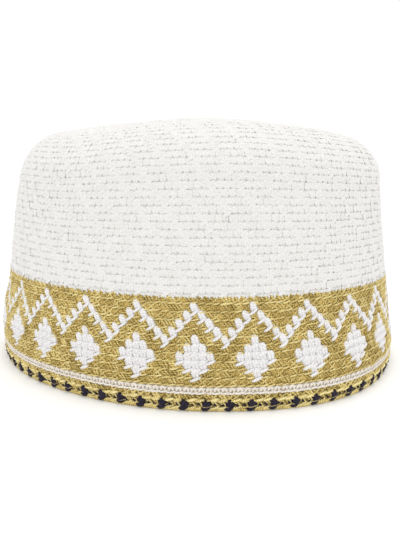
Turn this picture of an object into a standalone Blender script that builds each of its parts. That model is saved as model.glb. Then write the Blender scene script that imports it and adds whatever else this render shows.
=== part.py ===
"""Crocheted prayer cap: a white, softly domed crown and side wall over a patterned
gold band, a single white round and a gold edging that the cap stands on.

Units are metres, +Z is up, and the origin is on the surface that the cap rests on,
under the middle of its crown. The cap is oval: +X runs along its longer side, and
-Y faces the side that the photograph shows. Every piece is a closed wall of cloth.
"""

import math
from typing import NamedTuple

import bpy
import numpy as np
from mathutils import Matrix

# Driving dimensions of the cap, measured outside
CAP_WIDTH = 0.1972
CAP_DEPTH = 0.1736
CAP_HEIGHT = 0.1118
SHOULDER_RADIUS = 0.0226
CROWN_SLOPE = math.radians(11.5)
FABRIC = 0.0026

# Heights of the rounds above the rim, upwards, and the gap between two pieces
EDGING_HEIGHT = 0.0068
WHITE_ROUND_HEIGHT = 0.0030
BAND_HEIGHT = 0.0325
ROUND_GAP = 0.0003

# Faces round the cap, and rings of faces up each piece
SEGMENTS = 64
EDGING_RINGS = 3
WHITE_ROUND_RINGS = 1
BAND_RINGS = 7
WALL_RINGS = 7
SHOULDER_RINGS = 7
CROWN_RINGS = 5


class Section(NamedTuple):
    """One level of the side: its height as a share of the side below the
    shoulder, and its half width as a share of half of CAP_WIDTH."""

    height: float
    girth: float


SIDE_SECTIONS = (
    Section(height=0.00, girth=0.988),
    Section(height=0.05, girth=0.997),
    Section(height=0.12, girth=1.000),
    Section(height=0.28, girth=0.981),
    Section(height=0.46, girth=0.959),
    Section(height=0.75, girth=0.926),
    Section(height=1.00, girth=0.895),
)


class Dent(NamedTuple):
    """A soft hollow or bulge: its middle as degrees from -Y towards +X and as a
    share of CAP_HEIGHT, how far it spreads each way, and how far the cloth is
    pushed out, or in where it is negative, as a share of half of CAP_WIDTH."""

    azimuth: float
    height: float
    half_turn: float
    half_height: float
    push: float


DENTS = (
    Dent(azimuth=-54, height=0.21, half_turn=38, half_height=0.16, push=0.014),
    Dent(azimuth=-52, height=0.86, half_turn=30, half_height=0.24, push=-0.018),
    Dent(azimuth=-14, height=0.02, half_turn=30, half_height=0.30, push=-0.008),
    Dent(azimuth=48, height=0.02, half_turn=34, half_height=0.40, push=0.024),
    Dent(azimuth=84, height=0.84, half_turn=28, half_height=0.26, push=0.009),
    Dent(azimuth=150, height=0.62, half_turn=40, half_height=0.34, push=-0.014),
    Dent(azimuth=-128, height=0.70, half_turn=36, half_height=0.30, push=0.010),
)


class Sag(NamedTuple):
    """A dip or swell of the crown's rim: its middle as degrees from -Y towards
    +X, its spread each way, and its lift as a share of CAP_HEIGHT."""

    azimuth: float
    half_turn: float
    lift: float


CROWN_SAGS = (
    Sag(azimuth=-24, half_turn=30, lift=-0.016),
    Sag(azimuth=24, half_turn=28, lift=0.010),
    Sag(azimuth=76, half_turn=28, lift=-0.005),
    Sag(azimuth=165, half_turn=48, lift=-0.014),
    Sag(azimuth=-120, half_turn=40, lift=0.006),
)

# Where the sags lie, as shares of CAP_HEIGHT: their middle level and their spread
SAG_LEVEL = 0.90
SAG_SPREAD = 0.45

# Edges that turn by more than this stay sharp in shading
SHARP_EDGE = math.radians(50)

COTTON_WHITE = (0.88, 0.87, 0.84)
LUREX_GOLD = (0.60, 0.42, 0.14)
EDGING_GOLD = (0.52, 0.36, 0.13)

# The profile's fixed lengths, worked out from the driving dimensions
RIM_RADIUS = CAP_WIDTH / 2
SHOULDER_TURN = math.pi / 2 - CROWN_SLOPE
SIDE_TOP_RADIUS = RIM_RADIUS * SIDE_SECTIONS[-1].girth
CROWN_RADIUS = SIDE_TOP_RADIUS - SHOULDER_RADIUS * (1 - math.cos(SHOULDER_TURN))
CROWN_RISE = CROWN_RADIUS * math.tan(CROWN_SLOPE) / 2
SIDE_HEIGHT = CAP_HEIGHT - CROWN_RISE - SHOULDER_RADIUS * math.sin(SHOULDER_TURN)
SHOULDER_LENGTH = SHOULDER_RADIUS * SHOULDER_TURN
SLOPE_STEP = CAP_HEIGHT / 1000


def bell(offset):
    """A smooth hill: 1 at offset 0, and 0 from offset 1 outwards on both sides."""
    return np.where(np.abs(offset) < 1, (1 + np.cos(np.pi * offset)) / 2, 0)


def turn_between(azimuth, middle):
    """The angle in degrees from middle to azimuth, the short way round."""
    return (azimuth - middle + 180) % 360 - 180


def side_radius(height):
    """Half width at each height up the side: a smooth curve through the
    sections, whose slope at a section is the slope between its neighbours."""
    levels = np.array([section.height for section in SIDE_SECTIONS]) * SIDE_HEIGHT
    radii = np.array([section.girth for section in SIDE_SECTIONS]) * RIM_RADIUS
    slopes = np.gradient(radii, levels)
    low = np.clip(np.searchsorted(levels, height, side="right") - 1, 0, len(levels) - 2)
    span = levels[low + 1] - levels[low]
    along = (height - levels[low]) / span
    rise = along * along * (3 - 2 * along)
    start_pull = along * (1 - along) ** 2 * span * slopes[low]
    end_pull = along * along * (along - 1) * span * slopes[low + 1]
    return radii[low] * (1 - rise) + radii[low + 1] * rise + start_pull + end_pull


def profile(course):
    """Radius and height of the cloth's outer face at each distance along the
    profile, from the rim up the side, over the shoulder to the crown's middle."""
    side = np.clip(course, 0, SIDE_HEIGHT)
    turn = np.clip((course - SIDE_HEIGHT) / SHOULDER_RADIUS, 0, SHOULDER_TURN)
    crown = np.clip((course - SIDE_HEIGHT - SHOULDER_LENGTH) / CROWN_RADIUS, 0, 1)
    radius = side_radius(side)
    radius -= SHOULDER_RADIUS * (1 - np.cos(turn))
    radius -= CROWN_RADIUS * crown
    height = side + SHOULDER_RADIUS * np.sin(turn)
    height += CROWN_RISE * (1 - (1 - crown) ** 2)
    return radius, height


def profile_normal(course):
    """The profile's outward normal, as its parts along the radius and up, from
    the points a short step before and after."""
    before, after = profile(course - SLOPE_STEP), profile(course + SLOPE_STEP)
    along, up = after[0] - before[0], after[1] - before[1]
    length = np.hypot(along, up)
    return up / length, -along / length


def cloth_surface(course, depth):
    """Points of the cloth at a depth under its outer face, one row for each
    distance along the profile and one point for each face round the cap."""
    azimuth = np.arange(SEGMENTS) * 360 / SEGMENTS
    turn = np.radians(azimuth)
    radius, height = profile(course)
    out, up = profile_normal(course)
    push = np.zeros((len(course), SEGMENTS))
    for dent in DENTS:
        around = bell(turn_between(azimuth, dent.azimuth) / dent.half_turn)
        upward = bell((height / CAP_HEIGHT - dent.height) / dent.half_height)
        push += dent.push * RIM_RADIUS * np.outer(upward, around)
    lift = np.zeros(SEGMENTS)
    for sag in CROWN_SAGS:
        around = bell(turn_between(azimuth, sag.azimuth) / sag.half_turn)
        lift += sag.lift * CAP_HEIGHT * around
    share_out = np.clip(radius / CROWN_RADIUS, 0, 1)
    near_rim = bell((height / CAP_HEIGHT - SAG_LEVEL) / SAG_SPREAD) * share_out**2
    push *= share_out[:, None]
    inward = (depth * out)[:, None]
    x = (radius[:, None] + push - inward) * np.sin(turn)
    y = -(radius[:, None] * CAP_DEPTH / CAP_WIDTH + push - inward) * np.cos(turn)
    z = (height - depth * up * (course > 0))[:, None] + np.outer(near_rim, lift)
    return np.stack([x, y, z], axis=-1)


def ring_faces(rings, first):
    """Four-cornered faces between neighbouring rings of points, facing outwards
    when the rings run up the cap, counted from the point numbered first."""
    row, column = np.meshgrid(np.arange(rings - 1), np.arange(SEGMENTS), indexing="ij")
    here = first + row * SEGMENTS + column
    beside = first + row * SEGMENTS + (column + 1) % SEGMENTS
    faces = np.stack([here, beside, beside + SEGMENTS, here + SEGMENTS], axis=-1)
    return faces.reshape(-1, 4)


def closing_faces(outer, inner):
    """Faces from one ring of the outer wall to the matching ring inside it."""
    column = np.arange(SEGMENTS)
    after = (column + 1) % SEGMENTS
    return np.stack([inner + column, inner + after, outer + after, outer + column], axis=-1)


def add_piece(name, points, faces, material):
    """A smooth-shaded object of these points and faces, with one material."""
    mesh = bpy.data.meshes.new(name)
    mesh.from_pydata(points.tolist(), [], faces)
    mesh.materials.append(material)
    mesh.shade_smooth()
    mesh.set_sharp_from_angle(angle=SHARP_EDGE)
    piece = bpy.data.objects.new(name, mesh)
    bpy.context.collection.objects.link(piece)
    return piece


def add_round(name, bottom, top, rings, material):
    """A closed hoop of cloth between two distances along the profile."""
    course = np.linspace(bottom, top, rings + 1)
    outer = cloth_surface(course, 0.0)
    inner = cloth_surface(course, FABRIC)
    points = np.concatenate([outer.reshape(-1, 3), inner.reshape(-1, 3)])
    inside = outer.size // 3
    last_ring = rings * SEGMENTS
    faces = ring_faces(rings + 1, 0).tolist()
    faces += ring_faces(rings + 1, inside)[:, ::-1].tolist()
    faces += closing_faces(0, inside).tolist()
    faces += closing_faces(last_ring, inside + last_ring)[:, ::-1].tolist()
    return add_piece(name, points, faces, material)


def add_crown(name, bottom, material):
    """The shoulder and the domed top as one closed piece, with a single point
    at the middle of each face of the cloth."""
    crown_start = SIDE_HEIGHT + SHOULDER_LENGTH
    shoulder = np.linspace(bottom, crown_start, SHOULDER_RINGS + 1)
    top = np.linspace(crown_start, crown_start + CROWN_RADIUS, CROWN_RINGS + 2)[1:-1]
    course = np.concatenate([shoulder, top])
    outer = cloth_surface(course, 0.0).reshape(-1, 3)
    inner = cloth_surface(course, FABRIC).reshape(-1, 3)
    middles = [[0, 0, CAP_HEIGHT], [0, 0, CAP_HEIGHT - FABRIC]]
    points = np.concatenate([outer, inner, middles])
    inside = len(outer)
    last_ring = inside - SEGMENTS
    outer_middle = 2 * inside
    faces = ring_faces(len(course), 0).tolist()
    faces += ring_faces(len(course), inside)[:, ::-1].tolist()
    faces += closing_faces(0, inside).tolist()
    for column in range(SEGMENTS):
        after = (column + 1) % SEGMENTS
        faces.append([last_ring + column, last_ring + after, outer_middle])
        faces.append([inside + last_ring + after, inside + last_ring + column, outer_middle + 1])
    return add_piece(name, points, faces, material)


def yarn_material(name, colour, roughness, metallic):
    """A plain material in a yarn's colour, in linear light."""
    material = bpy.data.materials.new(name)
    material.use_nodes = True
    shader = material.node_tree.nodes["Principled BSDF"]
    shader.inputs["Base Color"].default_value = (*colour, 1)
    shader.inputs["Roughness"].default_value = roughness
    shader.inputs["Metallic"].default_value = metallic
    material.diffuse_color = (*colour, 1)
    return material


def centre_over_origin(pieces):
    """Moves the pieces together, sideways only, so that the middle of the box
    around them all stands over the origin."""
    points = np.concatenate([[vertex.co for vertex in piece.data.vertices] for piece in pieces])
    middle = (points.min(axis=0) + points.max(axis=0)) / 2
    shift = Matrix.Translation((-middle[0], -middle[1], 0))
    for piece in pieces:
        piece.data.transform(shift)


def clear_scene():
    """Removes every object that the file starts with."""
    for thing in list(bpy.data.objects):
        bpy.data.objects.remove(thing, do_unlink=True)


def main():
    """Builds the cap's pieces from the rim upwards."""
    clear_scene()
    white = yarn_material("white_cotton", COTTON_WHITE, 0.85, 0.0)
    gold = yarn_material("gold_lurex", LUREX_GOLD, 0.45, 0.6)
    edging_gold = yarn_material("edging_gold", EDGING_GOLD, 0.5, 0.5)
    half_gap = ROUND_GAP / 2
    edging_top = EDGING_HEIGHT
    white_top = edging_top + WHITE_ROUND_HEIGHT
    band_top = white_top + BAND_HEIGHT
    pieces = [
        add_round("edging", 0.0, edging_top - half_gap, EDGING_RINGS, edging_gold),
        add_round("white_round", edging_top + half_gap, white_top - half_gap, WHITE_ROUND_RINGS, white),
        add_round("patterned_band", white_top + half_gap, band_top - half_gap, BAND_RINGS, gold),
        add_round("side_wall", band_top + half_gap, SIDE_HEIGHT - half_gap, WALL_RINGS, white),
        add_crown("crown", SIDE_HEIGHT + half_gap, white),
    ]
    centre_over_origin(pieces)


main()
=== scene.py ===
"""Looks of the crocheted prayer cap: every stitch of its rounds as yarn, laid over a
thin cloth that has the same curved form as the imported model.

The cap is worked from the middle of its crown downwards. A stitch is an arch of
yarn whose top points to the crown, and a loop of the same yarn lies slanting under
it, over the top of the next round. A cell is the space of one stitch: its width is
a share of its round, and its height is the height of the round.
"""

import logging
import math
from dataclasses import dataclass
from dataclasses import field
from dataclasses import fields
from enum import Enum
from functools import cached_property
from typing import TypeVar

import bpy
import numpy as np
from mathutils import Matrix
from mathutils import Vector


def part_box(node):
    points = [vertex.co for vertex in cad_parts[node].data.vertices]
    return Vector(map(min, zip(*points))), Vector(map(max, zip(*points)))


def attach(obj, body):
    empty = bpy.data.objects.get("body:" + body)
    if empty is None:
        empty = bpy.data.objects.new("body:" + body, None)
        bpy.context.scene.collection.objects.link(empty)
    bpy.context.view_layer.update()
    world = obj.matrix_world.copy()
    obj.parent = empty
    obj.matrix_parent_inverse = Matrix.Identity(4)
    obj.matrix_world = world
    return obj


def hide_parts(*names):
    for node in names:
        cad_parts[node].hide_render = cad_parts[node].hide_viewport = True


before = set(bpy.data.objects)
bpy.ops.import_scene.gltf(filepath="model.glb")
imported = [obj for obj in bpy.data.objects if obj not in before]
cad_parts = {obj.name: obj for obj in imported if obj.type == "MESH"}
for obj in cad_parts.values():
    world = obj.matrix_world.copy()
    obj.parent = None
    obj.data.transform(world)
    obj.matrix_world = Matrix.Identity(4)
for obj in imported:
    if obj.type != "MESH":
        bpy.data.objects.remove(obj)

log = logging.getLogger("prayer_cap")

MM = 0.001
TURN = 2 * math.pi

# Chords in the table of the oval's length, and points round and up in the grid that
# the form's middle is read from
OVAL_CHORDS = 2880
MIDDLE_GRID = (257, 65)

# A strand of four sides that is flatter than this is shaded as a ribbon, with a sharp
# line along each side
RIBBON_FLAT = 0.6

# The least height of yarn over the floor, in metres
FLOOR_GAP = 0.0001


class Slot(Enum):
    """The record's material slots."""

    COTTON = "white_cotton"
    GOLD = "gold_lurex"
    EDGING = "gold_edging"
    DARK = "dark_thread"


@dataclass(frozen=True)
class Section:
    """One level of the side, as shares of the side's height and of half the width."""

    height: float
    girth: float


@dataclass(frozen=True)
class Dent:
    """A soft hollow or bulge: its middle in degrees and as a share of the height, its
    spread each way, and its push outwards as a share of half the width."""

    azimuth: float
    height: float
    half_turn: float
    half_height: float
    push: float


@dataclass(frozen=True)
class Sag:
    """A dip or swell of the crown's rim, with its lift as a share of the height."""

    azimuth: float
    half_turn: float
    lift: float


def bell(offset: np.ndarray) -> np.ndarray:
    """A smooth hill, half of one plus the cosine: 1 at an offset of 0, and 0 from 1 on."""
    return np.where(np.abs(offset) < 1, (1 + np.cos(np.pi * offset)) / 2, 0.0)


@dataclass(frozen=True)
class CapForm:
    """The cap's outer face, as a surface of two parameters: the share of a round, from
    the front towards +X, and the course, which is the distance from the rim up the
    side, over the shoulder and along the crown to its middle."""

    width: float = 0.1972
    depth: float = 0.1736
    height: float = 0.1118
    shoulder_radius: float = 0.0226
    crown_slope: float = math.radians(11.5)
    fabric: float = 0.0026
    sag_level: float = 0.90
    sag_spread: float = 0.45
    sections: tuple[Section, ...] = (
        Section(0.00, 0.988),
        Section(0.05, 0.997),
        Section(0.12, 1.000),
        Section(0.28, 0.981),
        Section(0.46, 0.959),
        Section(0.75, 0.926),
        Section(1.00, 0.895),
    )
    dents: tuple[Dent, ...] = (
        Dent(-54, 0.21, 38, 0.16, 0.014),
        Dent(-52, 0.86, 30, 0.24, -0.018),
        Dent(-14, 0.02, 30, 0.30, -0.008),
        Dent(48, 0.02, 34, 0.40, 0.024),
        Dent(84, 0.84, 28, 0.26, 0.009),
        Dent(150, 0.62, 40, 0.34, -0.014),
        Dent(-128, 0.70, 36, 0.30, 0.010),
    )
    sags: tuple[Sag, ...] = (
        Sag(-24, 30, -0.016),
        Sag(24, 28, 0.010),
        Sag(76, 28, -0.005),
        Sag(165, 48, -0.014),
        Sag(-120, 40, 0.006),
    )

    @property
    def rim_radius(self) -> float:
        """Half of the width at the widest level."""
        return self.width / 2

    @property
    def shoulder_turn(self) -> float:
        """The angle that the shoulder bends through."""
        return math.pi / 2 - self.crown_slope

    @property
    def crown_radius(self) -> float:
        """Half width of the domed top inside the shoulder."""
        side_top = self.rim_radius * self.sections[-1].girth
        return side_top - self.shoulder_radius * (1 - math.cos(self.shoulder_turn))

    @property
    def crown_rise(self) -> float:
        """How far the crown's middle lies above the end of the shoulder."""
        return self.crown_radius * math.tan(self.crown_slope) / 2

    @property
    def side_height(self) -> float:
        """Height of the side below the shoulder."""
        return self.height - self.crown_rise - self.shoulder_radius * math.sin(self.shoulder_turn)

    @property
    def shoulder_end(self) -> float:
        """The course at which the shoulder meets the crown."""
        return self.side_height + self.shoulder_radius * self.shoulder_turn

    @property
    def middle_course(self) -> float:
        """The course of the crown's middle."""
        return self.shoulder_end + self.crown_radius

    @cached_property
    def chords(self) -> tuple[np.ndarray, np.ndarray]:
        """Even angles round the oval at the widest level, and the short chords between.

        Returns:
            The angles, and the chords' lengths.
        """
        turn = np.linspace(0, TURN, OVAL_CHORDS + 1)
        across = self.rim_radius * np.sin(turn)
        along = -self.rim_radius * self.depth / self.width * np.cos(turn)
        return turn, np.hypot(np.diff(across), np.diff(along))

    @cached_property
    def turn_table(self) -> tuple[np.ndarray, np.ndarray]:
        """Share of the oval's length against its angle, summed over the chords.

        Returns:
            The shares and the angles.
        """
        turn, chords = self.chords
        length = np.concatenate([[0], np.cumsum(chords)])
        return length / length[-1], turn

    @cached_property
    def oval_length(self) -> float:
        """Length of the oval at the widest level."""
        return float(self.chords[1].sum())

    @cached_property
    def middle(self) -> np.ndarray:
        """The middle of the box around the form, which stands over the origin.

        Returns:
            Its place in metres, at a height of zero.
        """
        round_steps, up_steps = MIDDLE_GRID
        levels = np.linspace(0, self.side_height, up_steps)
        share, course = np.meshgrid(np.linspace(0, 1, round_steps), levels)
        points = self.face(share, course, np.zeros_like(share)).reshape(-1, 3)
        middle = (points.min(axis=0) + points.max(axis=0)) / 2
        return np.array([middle[0], middle[1], 0.0])

    def side_radius(self, height: np.ndarray) -> np.ndarray:
        """A smooth cubic curve through the sections, whose slope at a section is the
        slope between its neighbours.

        Args:
            height: Heights over the rim, in metres.

        Returns:
            The side's radius at each of them.
        """
        levels = np.array([section.height for section in self.sections]) * self.side_height
        radii = np.array([section.girth for section in self.sections]) * self.rim_radius
        slopes = np.gradient(radii, levels)
        low = np.clip(np.searchsorted(levels, height, side="right") - 1, 0, len(levels) - 2)
        span = levels[low + 1] - levels[low]
        along = (height - levels[low]) / span
        rise = along * along * (3 - 2 * along)
        start_pull = along * (1 - along) ** 2 * span * slopes[low]
        end_pull = along * along * (along - 1) * span * slopes[low + 1]
        return radii[low] * (1 - rise) + radii[low + 1] * rise + start_pull + end_pull

    def profile(self, course: np.ndarray) -> tuple[np.ndarray, np.ndarray]:
        """Radius and height at each course: the side, then an arc, then a dome whose
        rise falls off with the square of the way that is left to its middle.

        Args:
            course: Distances from the rim along the profile.

        Returns:
            The radii and the heights.
        """
        side = np.clip(course, 0, self.side_height)
        bend = np.clip((course - self.side_height) / self.shoulder_radius, 0, self.shoulder_turn)
        crown = np.clip((course - self.shoulder_end) / self.crown_radius, 0, 1)
        radius = self.side_radius(side) - self.shoulder_radius * (1 - np.cos(bend))
        radius = radius - self.crown_radius * crown
        height = side + self.shoulder_radius * np.sin(bend)
        return radius, height + self.crown_rise * (1 - (1 - crown) ** 2)

    def slope(self, course: np.ndarray) -> tuple[np.ndarray, np.ndarray]:
        """The profile's outward normal, square to the line between two near points.

        Args:
            course: Distances from the rim along the profile.

        Returns:
            Its part along the radius, and its part up.
        """
        step = self.height / 1000
        start = np.clip(course, step, self.middle_course - step)
        before, after = self.profile(start - step), self.profile(start + step)
        along, up = after[0] - before[0], after[1] - before[1]
        length = np.hypot(along, up)
        return up / length, -along / length

    def perimeter(self, course: np.ndarray) -> np.ndarray:
        """Length of the round at each course, in step with its radius."""
        return self.oval_length * self.profile(course)[0] / self.rim_radius

    def face(self, share: np.ndarray, course: np.ndarray, lift: np.ndarray) -> np.ndarray:
        """Points at a lift over the outer face: the oval at that course, pushed by the
        dents and raised by the sags, each a bell in angle times a bell in height.

        Args:
            share: Shares of a round, of any size, because they wrap.
            course: Distances along the profile, of the same shape.
            lift: Distances over the outer face, of the same shape.

        Returns:
            Points in metres, with one more axis than share.
        """
        turn = np.interp(share % 1.0, *self.turn_table)
        azimuth = np.degrees(turn)
        radius, height = self.profile(course)
        out, up = self.slope(course)
        inside = np.clip(radius / self.crown_radius, 0, 1)
        push = np.zeros_like(radius)
        for dent in self.dents:
            around = bell(((azimuth - dent.azimuth + 180) % 360 - 180) / dent.half_turn)
            upward = bell((height / self.height - dent.height) / dent.half_height)
            push = push + dent.push * self.rim_radius * around * upward
        raised = np.zeros_like(radius)
        for sag in self.sags:
            around = bell(((azimuth - sag.azimuth + 180) % 360 - 180) / sag.half_turn)
            raised = raised + sag.lift * self.height * around
        near_rim = bell((height / self.height - self.sag_level) / self.sag_spread) * inside**2
        outward = push * inside + lift * out
        x = (radius + outward) * np.sin(turn)
        y = -(radius * self.depth / self.width + outward) * np.cos(turn)
        z = height + lift * up + near_rim * raised
        return np.stack([x, y, z], axis=-1)

    def points(self, share: np.ndarray, course: np.ndarray, lift: np.ndarray) -> np.ndarray:
        """The same as face, with the form's middle over the origin."""
        return self.face(share, course, lift) - self.middle


@dataclass(frozen=True)
class Strand:
    """A run of yarn in a cell: a smooth curve through a few points, each given as
    (across, up, lift), with across and up in shares of the cell and lift in mm.

    The radius, in mm, falls to tip times itself at both ends, by the root of a half
    sine. Flat is the section's depth over its width, and rings and sides are the points
    along it and around it. Its tone is painted light: a positive tone is a painted
    highlight that makes the strand lighter, and a negative one painted shade."""

    route: tuple[tuple[float, float, float], ...]
    radius: float
    tip: float
    rings: int
    sides: int
    flat: float = 1.0
    tone: float = 0.0


@dataclass(frozen=True)
class Template:
    """The tubes of one stitch: middle points and offsets from them in metres, their
    tones of painted highlight and painted shade, which points lie on a sharp side line,
    their faces, and a place along and around the yarn for each corner of a face."""

    middles: np.ndarray
    offsets: np.ndarray
    tones: np.ndarray
    sharp: np.ndarray
    faces: np.ndarray
    corners: np.ndarray


@dataclass(frozen=True)
class YarnMesh:
    """Plain arrays of a mesh: points, four-cornered faces, a corner's place along and
    around the yarn, one tint value a point, which is its stitch's random tint plus the
    painted highlight and painted shade of its strand, and which points lie on a sharp line."""

    points: np.ndarray
    faces: np.ndarray
    corners: np.ndarray
    tint: np.ndarray
    sharp: np.ndarray


Tubes = TypeVar("Tubes", Template, YarnMesh)


def joined(several: list[Tubes]) -> Tubes:
    """Several templates or several meshes as one, with their faces counted on.

    Args:
        several: Those to join, all of one kind.

    Returns:
        One of the same kind.
    """
    counts = np.cumsum([0] + [len(one.sharp) for one in several])
    parts = {part.name: [getattr(one, part.name) for one in several] for part in fields(several[0])}
    parts["faces"] = [faces + count for faces, count in zip(parts["faces"], counts)]
    return type(several[0])(**{name: np.concatenate(arrays) for name, arrays in parts.items()})


def strips(lower: np.ndarray, upper: np.ndarray) -> np.ndarray:
    """Faces between closed rings of points, along the lower one and back along the upper."""
    round_ends = [lower, np.roll(lower, -1, axis=-1), np.roll(upper, -1, axis=-1), upper]
    return np.stack(round_ends, axis=-1).reshape(-1, 4)


def smooth_route(route: np.ndarray, rings: int) -> np.ndarray:
    """Points along a Catmull-Rom curve: between two route points it is the cubic whose
    end slopes are half the way between their neighbours.

    Args:
        route: Points to pass through, one row each.
        rings: How many points to return, evenly spaced in the route's count.

    Returns:
        The points, one row each.
    """
    padded = np.concatenate([[2 * route[0] - route[1]], route, [2 * route[-1] - route[-2]]])
    place = np.linspace(0, len(route) - 1, rings)
    low = np.minimum(place.astype(int), len(route) - 2)
    part = (place - low)[:, None]
    before, start, end, after = (padded[low + step] for step in range(4))
    bend = 2 * before - 5 * start + 4 * end - after
    twist = -before + 3 * start - 3 * end + after
    return (2 * start + (end - before) * part + bend * part**2 + twist * part**3) / 2


def tube(strand: Strand, width: float, height: float) -> Template:
    """One strand as a closed tube: at each ring, points at even angles round the
    curve's tangent, counted from the side that faces out of the cloth.

    Args:
        strand: The run of yarn.
        width: The cell's width in metres.
        height: The cell's height in metres.

    Returns:
        The tube's template.
    """
    route = np.array(strand.route) * np.array([width, height, MM])
    line = smooth_route(route, strand.rings)
    tangent = np.gradient(line, axis=0)
    tangent /= np.linalg.norm(tangent, axis=1)[:, None]
    out = np.array([0.0, 0.0, 1.0]) - tangent[:, 2:3] * tangent
    out /= np.linalg.norm(out, axis=1)[:, None]
    beside = np.cross(tangent, out)
    part = np.linspace(0, 1, strand.rings)
    radius = strand.radius * MM * (strand.tip + (1 - strand.tip) * np.sqrt(np.sin(np.pi * part)))
    angle = np.arange(strand.sides) * TURN / strand.sides
    ring = np.cos(angle)[None, :, None] * out[:, None, :] * strand.flat
    ring = ring + np.sin(angle)[None, :, None] * beside[:, None, :]
    offsets = (ring * radius[:, None, None]).reshape(-1, 3)
    middles = np.repeat(line, strand.sides, axis=0)
    numbers = np.arange(len(middles)).reshape(-1, strand.sides)
    walls = strips(numbers[:-1], numbers[1:])
    run = np.concatenate([[0], np.cumsum(np.linalg.norm(np.diff(line, axis=0), axis=1))])
    first_cap, last_cap = cap_faces(strand.sides)
    faces = np.concatenate([walls, first_cap, last_cap + numbers[-1, 0]])
    cap_start = np.zeros((len(first_cap), 4, 2))
    cap_end = np.zeros((len(last_cap), 4, 2)) + np.array([run[-1], 0.0])
    corners = np.concatenate([wall_corners(run, strand.sides), cap_start, cap_end])
    # The strand's painted highlight and painted shade, the same at each of its points
    tones = np.full(len(middles), strand.tone)
    ribbon = strand.sides == 4 and strand.flat < RIBBON_FLAT
    sharp = np.tile(np.arange(strand.sides) % 2 == 1, strand.rings) & ribbon
    return Template(middles, offsets, tones, sharp, faces, corners)


def wall_corners(run: np.ndarray, sides: int) -> np.ndarray:
    """The place of each corner of a tube's walls: the run along the yarn in metres, and
    the share of the way around it.

    Args:
        run: Distance along the strand to each ring.
        sides: Points in a ring.

    Returns:
        Two numbers for each of a face's four corners.
    """
    start, low = np.meshgrid(run[:-1], np.arange(sides) / sides, indexing="ij")
    end, high = np.meshgrid(run[1:], (np.arange(sides) + 1) / sides, indexing="ij")
    along = np.stack([start, start, end, end], axis=-1)
    around = np.stack([low, high, high, low], axis=-1)
    return np.stack([along, around], axis=-1).reshape(-1, 4, 2)


def cap_faces(sides: int) -> tuple[np.ndarray, np.ndarray]:
    """Four-cornered faces that close the end rings of a tube.

    Args:
        sides: Points in a ring, 4 or 6.

    Returns:
        The faces of the first ring, facing back, and of the last, facing on.
    """
    if sides == 4:
        onward = np.array([[0, 1, 2, 3]])
    else:
        onward = np.array([[0, 1, 2, 3], [0, 3, 4, 5]])
    return onward[:, ::-1], onward


@dataclass(frozen=True)
class Gauge:
    """The size of one cell in metres, which the templates are made at."""

    width: float = 0.0028
    height: float = 0.0029


GAUGE = Gauge()


def stitch(*strands: Strand) -> Template:
    """The template of a stitch made of these strands."""
    return joined([tube(strand, GAUGE.width, GAUGE.height) for strand in strands])


@dataclass
class Cells:
    """Where stitches lie: for each, its middle's share of the round, the course of its
    lower edge, the stitches in its round and the height of its round."""

    share: np.ndarray
    course: np.ndarray
    count: np.ndarray
    height: np.ndarray

    def picked(self, choice: np.ndarray) -> "Cells":
        """The cells that the choice is true for."""
        return Cells(self.share[choice], self.course[choice], self.count[choice], self.height[choice])


@dataclass(frozen=True)
class Hand:
    """The small unevenness of handwork, each as the spread of a normal draw: a stitch's
    shift across and up in shares of its cell, its lift in mm, its size and its lean."""

    across: float = 0.035
    up: float = 0.035
    lift: float = 0.05
    size: float = 0.05
    lean: float = 0.05


EASY_HAND = Hand()
WALL_HAND = Hand(0.02, 0.03, 0.04, 0.04, 0.04)
MOTIF_HAND = Hand(0.03, 0.03, 0.04, 0.05, 0.05)
STRIPE_HAND = Hand(0.03, 0.02, 0.04, 0.05, 0.05)
GOLD_HAND = Hand(0.07, 0.04, 0.07, 0.10, 0.16)
EDGE_HAND = Hand(0.06, 0.03, 0.06, 0.08, 0.06)
HEART_HAND = Hand(0.03, 0.02, 0.03, 0.05, 0.04)
HEM_HAND = Hand(0.03, 0.01, 0.03, 0.04, 0.0)


def lay_stitches(form: CapForm, template: Template, cells: Cells, seed: int, hand: Hand) -> YarnMesh:
    """Copies the template into every cell at once. A point's share is the cell's share
    plus its place across over the cells in the round, its course is the cell's course
    plus its place up, and its lift is its own, all shaken a little for each stitch.

    Args:
        form: The cap's outer face.
        template: The stitch.
        cells: Where the stitches lie.
        seed: The seed of the draws.
        hand: How uneven they are.

    Returns:
        One mesh of all the stitches.
    """
    draw = np.random.default_rng(seed)
    total = len(cells.share)
    spreads = (hand.across, hand.up, hand.lift, hand.size, hand.lean)
    across, up, lift, size, lean = (draw.normal(0, spread, total)[:, None] for spread in spreads)
    tint, start = draw.random(total), draw.random(total)
    place = template.middles[None, :, :] + template.offsets[None, :, :] * (1 + size)[..., None]
    wide = place[..., 0] / GAUGE.width
    high = place[..., 1] / GAUGE.height
    share = cells.share[:, None] + (wide + across - lean * (high - 0.5)) / cells.count[:, None]
    course = cells.course[:, None] + (high + up) * cells.height[:, None]
    course = np.clip(course, 0, form.middle_course)
    points = form.points(share, course, place[..., 2] + lift * MM)
    points[..., 2] = np.maximum(points[..., 2], FLOOR_GAP)
    faces = template.faces[None] + (np.arange(total) * len(template.middles))[:, None, None]
    corners = np.repeat(template.corners[None], total, axis=0)
    corners[..., 0] += start[:, None, None]
    return YarnMesh(
        points.reshape(-1, 3),
        faces.reshape(-1, 4),
        corners.reshape(-1, 4, 2),
        # Each stitch's random tint plus its strands' painted highlight and painted shade
        (tint[:, None] + template.tones[None, :]).ravel(),
        np.tile(template.sharp, total),
    )


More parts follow.
